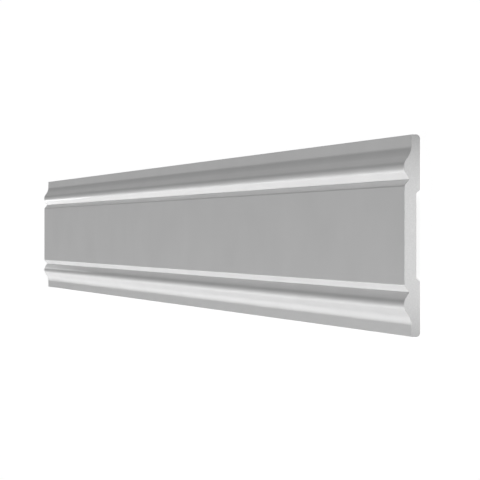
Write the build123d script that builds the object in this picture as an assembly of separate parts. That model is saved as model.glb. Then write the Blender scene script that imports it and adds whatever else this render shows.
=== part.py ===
from build123d import *
import os

# Wall moulding: one straight length of stock with a flat middle panel between two moulded edges.
# The length lies on its back as it would on a floor. X runs along the length, Y across the
# width and Z from the back to the face. All sizes are in millimetres.

# Stock size
LENGTH = 2000.0
WIDTH = 200.0
THICKNESS = 16.7

# Outer band, the low strip along each long edge, which falls away slightly towards the edge
BAND_WIDTH = 16.8
BAND_SETBACK = 7.75
BAND_FALL = 0.2
BAND_EDGE_RADIUS = 0.6

# Ogee, the slope that climbs from the band to the crest
OGEE_RUN = 10.1
OGEE_FOOT_RADIUS = 18.0

# Crest, the rounded ridge that stands highest
CREST_WIDTH = 10.2
CREST_CROWN = 0.76
CREST_SHOULDER_RADIUS = 7.0

# Groove between the crest and the panel
GROOVE_SLOPE_RUN = 7.3
GROOVE_DEPTH = 5.5
GROOVE_ROOT_RADIUS = 1.2

# Middle panel with a sloped edge down into the groove
PANEL_EDGE_RUN = 6.2
PANEL_SETBACK = 0.35
PANEL_EDGE_RADIUS = 3.0

# Back, two flat pads for adhesive with a shallow hollow between them
BACK_EDGE_RADIUS = 4.0
PAD_WIDTH = 55.0
HOLLOW_DEPTH = 3.8
HOLLOW_SIDE_RUN = 3.0

# Heights above the back
band_height = THICKNESS - BAND_SETBACK
shoulder_height = THICKNESS - CREST_CROWN
groove_height = THICKNESS - GROOVE_DEPTH
panel_height = THICKNESS - PANEL_SETBACK

# Distances from the middle line of the width, going inwards from the long edge
edge = WIDTH / 2
band_root = edge - BAND_WIDTH
crest_outer = band_root - OGEE_RUN
crest_middle = crest_outer - CREST_WIDTH / 2
crest_inner = crest_outer - CREST_WIDTH
groove_middle = crest_inner - GROOVE_SLOPE_RUN
panel_edge = groove_middle - PANEL_EDGE_RUN
pad_inner = edge - PAD_WIDTH
hollow_edge = pad_inner - HOLLOW_SIDE_RUN

# Corners of one half of the section, given as distance from the middle line and height
hollow_corner = (hollow_edge, HOLLOW_DEPTH)
pad_corner = (pad_inner, 0.0)
back_corner = (edge, 0.0)
band_corner = (edge, band_height - BAND_FALL)
ogee_foot = (band_root, band_height)
outer_shoulder = (crest_outer, shoulder_height)
crest_top = (crest_middle, THICKNESS)
inner_shoulder = (crest_inner, shoulder_height)
groove_root = (groove_middle, groove_height)
panel_corner = (panel_edge, panel_height)

# Rounding of the corners
rounding = [
    (back_corner, BACK_EDGE_RADIUS),
    (band_corner, BAND_EDGE_RADIUS),
    (ogee_foot, OGEE_FOOT_RADIUS),
    (outer_shoulder, CREST_SHOULDER_RADIUS),
    (inner_shoulder, CREST_SHOULDER_RADIUS),
    (groove_root, GROOVE_ROOT_RADIUS),
    (panel_corner, PANEL_EDGE_RADIUS),
]

# Half of the section is drawn and rounded, then mirrored about the middle line and pulled out
with BuildPart() as moulding:
    with BuildSketch(Plane.YZ.offset(-LENGTH / 2)) as section:
        with BuildLine():
            Polyline((0.0, HOLLOW_DEPTH), hollow_corner, pad_corner, back_corner, band_corner)
            Polyline(band_corner, ogee_foot, outer_shoulder)
            ThreePointArc(outer_shoulder, crest_top, inner_shoulder)
            Polyline(inner_shoulder, groove_root, panel_corner, (0.0, panel_height))
            Line((0.0, panel_height), (0.0, HOLLOW_DEPTH))
        make_face()
        for corner, radius in rounding:
            fillet(section.vertices().sort_by_distance(corner)[0], radius)
        mirror(about=Plane.YZ)
    extrude(amount=LENGTH)

os.makedirs("parts", exist_ok=True)
export_step(moulding.part, "parts/wall_moulding.step")
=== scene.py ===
# %% [markdown]
# A white wall moulding
#
# The object is one straight length of extruded moulding, which lies on its back on a pale floor.
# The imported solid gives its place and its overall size. This lesson models the same section with
# finer rounding, paints the long faces, shows the foam on the cut ends, and lights and views it
# so that the ridges and grooves stand out.

import math

import bmesh
import bpy
from mathutils import Matrix, Vector


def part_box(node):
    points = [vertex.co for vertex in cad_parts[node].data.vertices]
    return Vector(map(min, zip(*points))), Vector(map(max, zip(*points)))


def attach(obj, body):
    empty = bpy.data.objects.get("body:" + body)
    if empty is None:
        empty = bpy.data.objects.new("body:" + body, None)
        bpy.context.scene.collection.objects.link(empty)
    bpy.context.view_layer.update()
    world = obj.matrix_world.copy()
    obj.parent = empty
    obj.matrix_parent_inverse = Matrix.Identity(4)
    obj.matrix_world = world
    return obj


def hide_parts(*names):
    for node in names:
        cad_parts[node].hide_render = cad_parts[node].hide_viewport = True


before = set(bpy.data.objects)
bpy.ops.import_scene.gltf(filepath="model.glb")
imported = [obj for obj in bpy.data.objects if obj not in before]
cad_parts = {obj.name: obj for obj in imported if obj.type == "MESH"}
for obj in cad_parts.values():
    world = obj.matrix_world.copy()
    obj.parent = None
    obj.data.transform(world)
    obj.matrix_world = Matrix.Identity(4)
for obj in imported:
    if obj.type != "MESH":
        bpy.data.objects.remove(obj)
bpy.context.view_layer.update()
low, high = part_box("wall_moulding")
length, width, thickness = (high[axis] - low[axis] for axis in range(3))
print("nodes in the frame:", list(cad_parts))
print("moulding box in metres:", round(length, 4), round(width, 4), round(thickness, 4))

# %% [markdown]
# The section
#
# On the real stock every edge along the length comes from one die, so the whole shape is in its
# section. It could be a curve with a depth, or a strip of loops bridged one by one. A flat outline
# that is rounded and then pulled out keeps each size easy to find. The lengths in this cell and
# the next are in millimetres, and only one half of the section is listed, because the other half
# is its mirror.

# %% Sizes of the section
MM = 0.001
BAND_WIDTH = 16.8
BAND_SETBACK = 7.75
BAND_FALL = 0.2
OGEE_RUN = 10.1
CREST_WIDTH = 10.2
CREST_FLANK = math.radians(17)
RIDGE_RISE = 0.7
GROOVE_SLOPE_RUN = 7.3
GROOVE_DEPTH = 5.5
PANEL_EDGE_RUN = 6.2
PANEL_SETBACK = 0.35
PAD_WIDTH = 55.0
HOLLOW_DEPTH = 3.8
HOLLOW_SIDE_RUN = 3.0

face_height = thickness / MM
band_height = face_height - BAND_SETBACK
groove_height = face_height - GROOVE_DEPTH
panel_height = face_height - PANEL_SETBACK
ridge_height = face_height + RIDGE_RISE
shoulder_height = ridge_height - CREST_WIDTH / 2 * math.tan(CREST_FLANK)
print("heights of band, shoulder, groove, panel:",
      [round(value, 2) for value in (band_height, shoulder_height, groove_height, panel_height)])

# %% [markdown]
# Corners
#
# Each corner has its distance from the long edge, its height above the floor and the radius that
# rounds it. The crest is drawn as a low roof, and its ridge is rounded so widely that hardly any
# flat is left. Rounding brings the ridge down to the full thickness of the stock. The ogee is a
# straight slope with a wide hollow at its foot and a round shoulder at its top.

# %% Corners of one half of the section
BACK_EDGE_RADIUS = 4.0
BAND_EDGE_RADIUS = 0.6
OGEE_FOOT_RADIUS = 18.0
SHOULDER_RADIUS = 7.0
CREST_RADIUS = 13.2
GROOVE_ROOT_RADIUS = 1.2
PANEL_EDGE_RADIUS = 3.0
SHARP = 0.0

crest_outer = BAND_WIDTH + OGEE_RUN
crest_inner = crest_outer + CREST_WIDTH
groove_middle = crest_inner + GROOVE_SLOPE_RUN
half_section = [
    (PAD_WIDTH + HOLLOW_SIDE_RUN, HOLLOW_DEPTH, SHARP),
    (PAD_WIDTH, 0.0, SHARP),
    (0.0, 0.0, BACK_EDGE_RADIUS),
    (0.0, band_height - BAND_FALL, BAND_EDGE_RADIUS),
    (BAND_WIDTH, band_height, OGEE_FOOT_RADIUS),
    (crest_outer, shoulder_height, SHOULDER_RADIUS),
    ((crest_outer + crest_inner) / 2, ridge_height, CREST_RADIUS),
    (crest_inner, shoulder_height, SHOULDER_RADIUS),
    (groove_middle, groove_height, GROOVE_ROOT_RADIUS),
    (groove_middle + PANEL_EDGE_RUN, panel_height, PANEL_EDGE_RADIUS),
]
half_width = width / MM / 2
outline = [(half_width - inset, height, radius) for inset, height, radius in half_section]
outline += [(-across, height, radius) for across, height, radius in reversed(outline)]
print("corners in the whole section:", len(outline))

# %% [markdown]
# Rounding and pulling out
#
# A die has no sharp corners, and neither has what comes out of it. Bevelling the long edges of a
# finished block could round them too, but wide roundings that nearly meet would run into each
# other. Bevelling the corner points of the flat section is steadier. The bevel takes the distance
# from the corner to where the arc starts, which is the radius times the tangent of half the turn.

# %% Draw the section and round its corners
ROUND_SEGMENTS = 16
ARC_PROFILE = 0.5

bm = bmesh.new()
corners = [bm.verts.new((low[0], across * MM, height * MM)) for across, height, radius in outline]
bm.faces.new(corners)

corners_by_cut = {}
for index, (across, height, radius) in enumerate(outline):
    if radius > SHARP:
        here = corners[index].co
        to_last = corners[index - 1].co - here
        to_next = corners[(index + 1) % len(corners)].co - here
        turn = math.pi - to_last.angle(to_next)
        cut = round(radius * MM * math.tan(turn / 2), 9)
        corners_by_cut.setdefault(cut, []).append(corners[index])
for cut, group in corners_by_cut.items():
    bmesh.ops.bevel(bm, geom=group, offset=cut, offset_type="OFFSET", affect="VERTICES",
                    segments=ROUND_SEGMENTS, profile=ARC_PROFILE, material=-1, clamp_overlap=False)
top_of_section = max(vertex.co.z for vertex in bm.verts)
print("points in the rounded section:", len(bm.verts), "top in mm:", round(top_of_section / MM, 3))

# %% Pull the section out to the full length
SIDE_CORNERS = 4

pulled = bmesh.ops.extrude_face_region(bm, geom=list(bm.faces), use_keep_orig=True)
far_end = [part for part in pulled["geom"] if isinstance(part, bmesh.types.BMVert)]
bmesh.ops.translate(bm, verts=far_end, vec=(length, 0.0, 0.0))
bmesh.ops.recalc_face_normals(bm, faces=list(bm.faces))
end_caps = [face for face in bm.faces if len(face.verts) > SIDE_CORNERS]
print("faces:", len(bm.faces), "end caps:", len(end_caps))

# %% [markdown]
# Cut ends
#
# A length is sawn square from longer stock, so its ends show bare foam, and the saw leaves an
# arris that is sharp but not a knife edge. A Bevel modifier would also round the long edges that
# are finished already. So only the edges round the two ends are bevelled here, by a hair, and
# the end faces take the second material.

# %% Ease the arris round each end
ARRIS = 0.15 * MM
ARRIS_SEGMENTS = 2
END_FACING = 0.9
PRIMER_INDEX = 0
FOAM_INDEX = 1

end_edges = list({edge for cap in end_caps for edge in cap.edges})
bmesh.ops.bevel(bm, geom=end_edges, offset=ARRIS, offset_type="OFFSET", affect="EDGES",
                segments=ARRIS_SEGMENTS, profile=ARC_PROFILE, material=-1, clamp_overlap=True)
for face in bm.faces:
    face.smooth = True
    face.material_index = FOAM_INDEX if abs(face.normal.x) > END_FACING else PRIMER_INDEX
mesh = bpy.data.meshes.new("moulding_length")
bm.to_mesh(mesh)
bm.free()
print("triangles:", sum(len(face.vertices) - 2 for face in mesh.polygons))

# %% [markdown]
# The piece
#
# The roundings of the real stock run into its flats without a visible line. Plain smooth shading
# would bend the light on the flats as well. So edges that turn sharply stay sharp, and a Weighted
# Normal modifier lets the large flats decide the shading where they meet a rounding. The piece then
# moves with the frame's one body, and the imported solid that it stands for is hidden.

# %% Make the piece and tie it to the frame
SMOOTH_UP_TO = math.radians(32)

mesh.set_sharp_from_angle(angle=SMOOTH_UP_TO)
moulding = bpy.data.objects.new("moulding_length", mesh)
bpy.context.scene.collection.objects.link(moulding)
even_flats = moulding.modifiers.new("even_flats", "WEIGHTED_NORMAL")
even_flats.keep_sharp = True
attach(moulding, "root")
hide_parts("wall_moulding")
print("piece:", moulding.name, "stands for wall_moulding")

# %% [markdown]
# Helpers for the finishes
#
# Paint and foam are both white plastics, so they share one kind of shader and differ in grain.
# Colours are written as sRGB hex values, as a paint card gives them. One function turns them to
# linear values, and one adds a node with its settings and links. A Mix node has a set of sockets
# for each kind of value, all with the same names, so its colour sockets are picked by number.

# %% Colour and node helpers
MIX_COLOUR_A = 6
MIX_COLOUR_B = 7
MIX_COLOUR_OUT = 2


def linear(hex_colour):
    channels = [int(hex_colour[start:start + 2], 16) / 255 for start in (1, 3, 5)]
    return [c / 12.92 if c <= 0.04045 else ((c + 0.055) / 1.055) ** 2.4 for c in channels] + [1.0]


def add_node(material, kind, settings=None, inputs=None):
    node = material.node_tree.nodes.new(kind)
    for name, value in (settings or {}).items():
        setattr(node, name, value)
    for name, value in (inputs or {}).items():
        if isinstance(value, bpy.types.NodeSocket):
            material.node_tree.links.new(value, node.inputs[name])
        else:
            node.inputs[name].default_value = value
    return node


def new_material(name):
    material = bpy.data.materials.new(name)
    material.use_nodes = True
    material.node_tree.nodes.clear()
    return material


print("white in linear values:", [round(value, 3) for value in linear("#E4E4E4")])

# %% [markdown]
# Satin primer
#
# The long faces carry a thin acrylic primer over the skin that the die left. To the eye it is a
# clean white with a soft sheen, very faint lines along the length from the die, and the slight
# orange peel of a sprayed coat. The lines and the peel could be modelled, but they are only a few
# hundredths of a millimetre high, so a bump is enough. A slow cloud in colour and gloss
# stands for a coat that is not everywhere equally thick.

# %% Patterns of the primer
DIE_LINE_SPACING = 4.0 * MM  # about 1 mm on real stock, drawn coarser so that it shows
DIE_LINE_STRETCH = 0.01  # a line runs on about 100 times as far as it is wide
DIE_LINE_DETAIL = 2.0
PEEL_SIZE = 3.0 * MM  # about 1 mm on a real coat, drawn coarser so that it shows
PEEL_DETAIL = 1.0
COAT_CLOUD = 70.0 * MM
COAT_DETAIL = 3.0

primer = new_material("satin_white_acrylic_primer")
place = add_node(primer, "ShaderNodeTexCoord")
along = add_node(primer, "ShaderNodeMapping", inputs={
    "Vector": place.outputs["Object"], "Scale": (DIE_LINE_STRETCH, 1.0, 1.0)})
die_lines = add_node(primer, "ShaderNodeTexNoise", inputs={
    "Vector": along.outputs["Vector"], "Scale": 1 / DIE_LINE_SPACING, "Detail": DIE_LINE_DETAIL})
peel = add_node(primer, "ShaderNodeTexNoise", inputs={
    "Vector": place.outputs["Object"], "Scale": 1 / PEEL_SIZE, "Detail": PEEL_DETAIL})
cloud = add_node(primer, "ShaderNodeTexNoise", inputs={
    "Vector": place.outputs["Object"], "Scale": 1 / COAT_CLOUD, "Detail": COAT_DETAIL})
print("pattern scales per metre:",
      [round(1 / size) for size in (DIE_LINE_SPACING, PEEL_SIZE, COAT_CLOUD)])

# %% Surface of the primer
DIE_LINE_HEIGHT = 0.03 * MM
PEEL_HEIGHT = 0.02 * MM
THIN_COAT = linear("#DFDFDF")
FULL_COAT = linear("#E9E9E9")
GLOSSIEST = 0.37
DULLEST = 0.43
PRIMER_IOR = 1.5

lined = add_node(primer, "ShaderNodeBump", inputs={
    "Height": die_lines.outputs["Fac"], "Distance": DIE_LINE_HEIGHT})
peeled = add_node(primer, "ShaderNodeBump", inputs={
    "Height": peel.outputs["Fac"], "Distance": PEEL_HEIGHT, "Normal": lined.outputs["Normal"]})
tint = add_node(primer, "ShaderNodeMix", {"data_type": "RGBA"}, {
    "Factor": cloud.outputs["Fac"], MIX_COLOUR_A: THIN_COAT, MIX_COLOUR_B: FULL_COAT})
gloss = add_node(primer, "ShaderNodeMapRange", inputs={
    "Value": cloud.outputs["Fac"], "To Min": GLOSSIEST, "To Max": DULLEST})
painted = add_node(primer, "ShaderNodeBsdfPrincipled", inputs={
    "Base Color": tint.outputs[MIX_COLOUR_OUT], "Roughness": gloss.outputs["Result"],
    "IOR": PRIMER_IOR, "Normal": peeled.outputs["Normal"]})
add_node(primer, "ShaderNodeOutputMaterial", inputs={"Surface": painted.outputs["BSDF"]})
mesh.materials.append(primer)
print("primer nodes:", len(primer.node_tree.nodes))

# %% [markdown]
# Sawn foam
#
# The body is hard extruded polystyrene, a closed foam whose cells are too small to count. Where
# the saw went through, it is dull and a little uneven: tiny open cells, and faint parallel marks
# from the teeth. Cells are cut spheres, so a Voronoi pattern suits them, and a wave gives the
# marks. Both are drawn coarser than they are, and both stay faint.

# %% Patterns of the sawn foam
CELL_SIZE = 1.6 * MM  # about 0.2 mm in the real foam, drawn coarser so that it shows
SAW_SPACING = 3.0 * MM  # about 1 mm from a fine blade, drawn coarser so that it shows
SAW_WANDER = 2.0
WAVE_BANDS = 20 / (2 * math.pi)  # bands that the wave node draws in one unit at a scale of 1

wave_scale = 1 / (SAW_SPACING * WAVE_BANDS)
foam = new_material("sawn_polystyrene_foam")
place = add_node(foam, "ShaderNodeTexCoord")
cells = add_node(foam, "ShaderNodeTexVoronoi", inputs={
    "Vector": place.outputs["Object"], "Scale": 1 / CELL_SIZE})
saw_marks = add_node(foam, "ShaderNodeTexWave", {"bands_direction": "Y"}, {
    "Vector": place.outputs["Object"], "Scale": wave_scale, "Distortion": SAW_WANDER})
print("wave scale of the saw marks:", round(wave_scale, 1))

# %% Surface of the sawn foam
CELL_HEIGHT = 0.05 * MM
SAW_HEIGHT = 0.01 * MM
# The bottom of each open cell is painted darker than its walls: painted shade in the pits.
PAINTED_PIT_SHADE = linear("#DFDFDF")
CELL_WALL = linear("#E8E8E8")
FOAM_ROUGHNESS = 0.7
FOAM_IOR = 1.5

sawn = add_node(foam, "ShaderNodeBump", inputs={
    "Height": saw_marks.outputs["Fac"], "Distance": SAW_HEIGHT})
pitted = add_node(foam, "ShaderNodeBump", inputs={
    "Height": cells.outputs["Distance"], "Distance": CELL_HEIGHT, "Normal": sawn.outputs["Normal"]})
# The colour follows the depth of each pit, so the painted shade is darkest where a pit is deepest.
tint = add_node(foam, "ShaderNodeMix", {"data_type": "RGBA"}, {
    "Factor": cells.outputs["Distance"], MIX_COLOUR_A: PAINTED_PIT_SHADE, MIX_COLOUR_B: CELL_WALL})
cut_face = add_node(foam, "ShaderNodeBsdfPrincipled", inputs={
    "Base Color": tint.outputs[MIX_COLOUR_OUT], "Roughness": FOAM_ROUGHNESS, "IOR": FOAM_IOR,
    "Normal": pitted.outputs["Normal"]})
add_node(foam, "ShaderNodeOutputMaterial", inputs={"Surface": cut_face.outputs["BSDF"]})
mesh.materials.append(foam)
print("foam nodes:", len(foam.node_tree.nodes))

# %% [markdown]
# Floor
#
# The moulding lies on pale paper. A backdrop could be bent up behind it, but its shine would wash
# over the low reflections on the primer. So the floor is one flat sheet, so wide that its far edge
# stays out of sight. It takes light and shade like pale grey paper, so that it throws little light
# back on the long sides, and a glow that only the camera and the reflections see makes it white.

# %% Floor sheet
FLOOR_SIZE = 400.0
FLOOR_GAP = 0.2 * MM

bm = bmesh.new()
bmesh.ops.create_grid(bm, x_segments=1, y_segments=1, size=FLOOR_SIZE / 2)
bmesh.ops.translate(bm, verts=list(bm.verts), vec=(0.0, 0.0, low[2] - FLOOR_GAP))
floor_mesh = bpy.data.meshes.new("studio_floor")
bm.to_mesh(floor_mesh)
bm.free()
floor = bpy.data.objects.new("studio_floor", floor_mesh)
bpy.context.scene.collection.objects.link(floor)
print("floor side in metres:", FLOOR_SIZE)

# %% Floor paper
PAPER_GREY = linear("#B0B0B0")
FLOOR_GLOW = 0.80

paper = new_material("pale_studio_paper")
matt = add_node(paper, "ShaderNodeBsdfDiffuse", inputs={"Color": PAPER_GREY})
ray = add_node(paper, "ShaderNodeLightPath")
seen = add_node(paper, "ShaderNodeMath", {"operation": "MAXIMUM"}, {
    0: ray.outputs["Is Camera Ray"], 1: ray.outputs["Is Glossy Ray"]})
seen_through = add_node(paper, "ShaderNodeMath", {"operation": "MAXIMUM"}, {
    0: seen.outputs["Value"], 1: ray.outputs["Is Transmission Ray"]})
glow_level = add_node(paper, "ShaderNodeMath", {"operation": "MULTIPLY"}, {
    0: seen_through.outputs["Value"], 1: FLOOR_GLOW})
glow = add_node(paper, "ShaderNodeEmission", inputs={"Strength": glow_level.outputs["Value"]})
both = add_node(paper, "ShaderNodeAddShader", inputs={
    0: matt.outputs["BSDF"], 1: glow.outputs["Emission"]})
add_node(paper, "ShaderNodeOutputMaterial", inputs={"Surface": both.outputs["Shader"]})
floor_mesh.materials.append(paper)
print("floor glow:", FLOOR_GLOW)

# %% [markdown]
# Light
#
# Flat light from above would hide a shallow section. So an even dome gives the base level, and a
# low key from one long side brightens every slope that faces it. A weak fill from the other side
# lifts the steepest slopes there, which leaves a thin dark line on each gentle bend. It shines
# from just under the floor, so that the flats don't catch it. A soft light low behind the far end
# glides along the length and puts a sheen on the crests. The two side lamps cast no shadow, so
# that neither the floor nor a ridge stops them, and they stay out of reflections, so that the
# primer has no glare when it is seen against the key.

# %% Dome
DOME_COLOUR = linear("#FFFFFF")
DOME_STRENGTH = 0.295

world = bpy.data.worlds.new("studio_dome")
bpy.context.scene.world = world
world.use_nodes = True
sky = world.node_tree.nodes["Background"]
sky.inputs["Color"].default_value = DOME_COLOUR
sky.inputs["Strength"].default_value = DOME_STRENGTH
print("dome strength:", DOME_STRENGTH)

# %% Lamp helpers
SUN_DISTANCE = 3.0  # only the direction of a sun counts, so any distance will do


def add_lamp(name, kind, place, target, strength, in_reflections=True, **settings):
    lamp = bpy.data.lights.new(name, kind)
    lamp.energy = strength
    for key, value in settings.items():
        setattr(lamp, key, value)
    holder = bpy.data.objects.new(name, lamp)
    holder.location = place
    holder.visible_glossy = in_reflections
    holder.rotation_euler = (Vector(target) - Vector(place)).to_track_quat("-Z", "Y").to_euler()
    bpy.context.scene.collection.objects.link(holder)
    print("lamp:", name, strength)


def from_side(azimuth, elevation):
    flat = math.cos(elevation) * SUN_DISTANCE
    return (flat * math.cos(azimuth), flat * math.sin(azimuth), math.sin(elevation) * SUN_DISTANCE)


# %% Side lamps
# Azimuths are counted from the near end, the +X side, towards +Y.
KEY_AZIMUTH = math.radians(-90)
KEY_ELEVATION = math.radians(10)
KEY_STRENGTH = 2.68
FILL_AZIMUTH = math.radians(90)
FILL_ELEVATION = math.radians(-12)
FILL_STRENGTH = 0.80
SIDE_LAMP_DISC = math.radians(5)

middle = (0.0, 0.0, 0.0)
add_lamp("side_key", "SUN", from_side(KEY_AZIMUTH, KEY_ELEVATION), middle, KEY_STRENGTH,
         in_reflections=False, angle=SIDE_LAMP_DISC, use_shadow=False)
add_lamp("side_fill", "SUN", from_side(FILL_AZIMUTH, FILL_ELEVATION), middle, FILL_STRENGTH,
         in_reflections=False, angle=SIDE_LAMP_DISC, use_shadow=False)

# %% Back softbox
BACK_AZIMUTH = math.radians(194)
BACK_ELEVATION = math.radians(22)
BACK_STRENGTH = 0.33
BACK_DISC = math.radians(16)

add_lamp("back_softbox", "SUN", from_side(BACK_AZIMUTH, BACK_ELEVATION), middle, BACK_STRENGTH,
         angle=BACK_DISC)

# %% [markdown]
# End spots
#
# The cut ends face away from the other lamps. A narrow spot on each is brightest near the middle
# of the width and fades towards both long edges, which shows the end as a face of its own. A lamp
# above the face would also skim along it and leave a glare, so these two stand lower than the
# bands, close to the floor.

# %% Spots on the ends
SPOT_POWER = 86.0
SPOT_DISTANCE = 2.0
SPOT_HEIGHT = 4.0 * MM
SPOT_RADIUS = 3.0 * MM
SPOT_CONE = math.radians(8.1)
SPOT_BLEND = 1.0
SPOT_AIM_ACROSS = -6.0 * MM

for name, end, outwards in (("near_end_spot", high[0], 1), ("far_end_spot", low[0], -1)):
    stand = (end + outwards * SPOT_DISTANCE, 0.0, SPOT_HEIGHT)
    end_middle = (end, SPOT_AIM_ACROSS, thickness / 2)
    add_lamp(name, "SPOT", stand, end_middle, SPOT_POWER,
             spot_size=SPOT_CONE, spot_blend=SPOT_BLEND, shadow_soft_size=SPOT_RADIUS)

# %% [markdown]
# Camera
#
# The picture is taken with a long lens from beyond the near end, and turned so that the width of
# the moulding stands upright in the frame. All edges along the length run to one vanishing point
# far out to the left. Its distance from the middle of the picture and the focal length give the
# angle at which the camera looks down, and the height of the near end gives the distance.

# %% Picture points that fix the camera
IMAGE = 480
FOCAL_PX = 2090.0
VANISH_PX = -340.3
HORIZON_PX = 232.8
NEAR_END_PX = 411.55
NEAR_HEIGHT_PX = 202.8
EYE_ABOVE_MIDDLE = 2.9 * MM

look_down = math.atan((IMAGE / 2 - VANISH_PX) / FOCAL_PX)
forward = Vector((-math.cos(look_down), 0.0, -math.sin(look_down)))
right = Vector((math.sin(look_down), 0.0, -math.cos(look_down)))
up = Vector((0.0, 1.0, 0.0))
depth = FOCAL_PX * width / NEAR_HEIGHT_PX
aside = (NEAR_END_PX - IMAGE / 2) / FOCAL_PX * depth
near_band = Vector((high[0], 0.0, band_height * MM))
eye = near_band - depth * forward - aside * right + EYE_ABOVE_MIDDLE * up
print("camera at", [round(value, 3) for value in eye],
      "looks down", round(math.degrees(look_down), 1))

# %% Camera
SENSOR_WIDTH = 36.0
FAR_CLIP = 1000.0

lens = bpy.data.cameras.new("camera")
lens.sensor_width = SENSOR_WIDTH
lens.lens = FOCAL_PX * SENSOR_WIDTH / IMAGE
lens.shift_y = (HORIZON_PX - IMAGE / 2) / IMAGE
lens.clip_end = FAR_CLIP
camera = bpy.data.objects.new("camera", lens)
camera.location = eye
camera.rotation_euler = Matrix((right, up, -forward)).transposed().to_euler()
bpy.context.scene.collection.objects.link(camera)
bpy.context.scene.camera = camera
print("lens in mm:", round(lens.lens, 1))

# %% [markdown]
# Finish
#
# The Standard view shows colours as they are written. The dressed piece may not outgrow the
# solid.

# %% View
bpy.context.scene.view_settings.view_transform = "Standard"
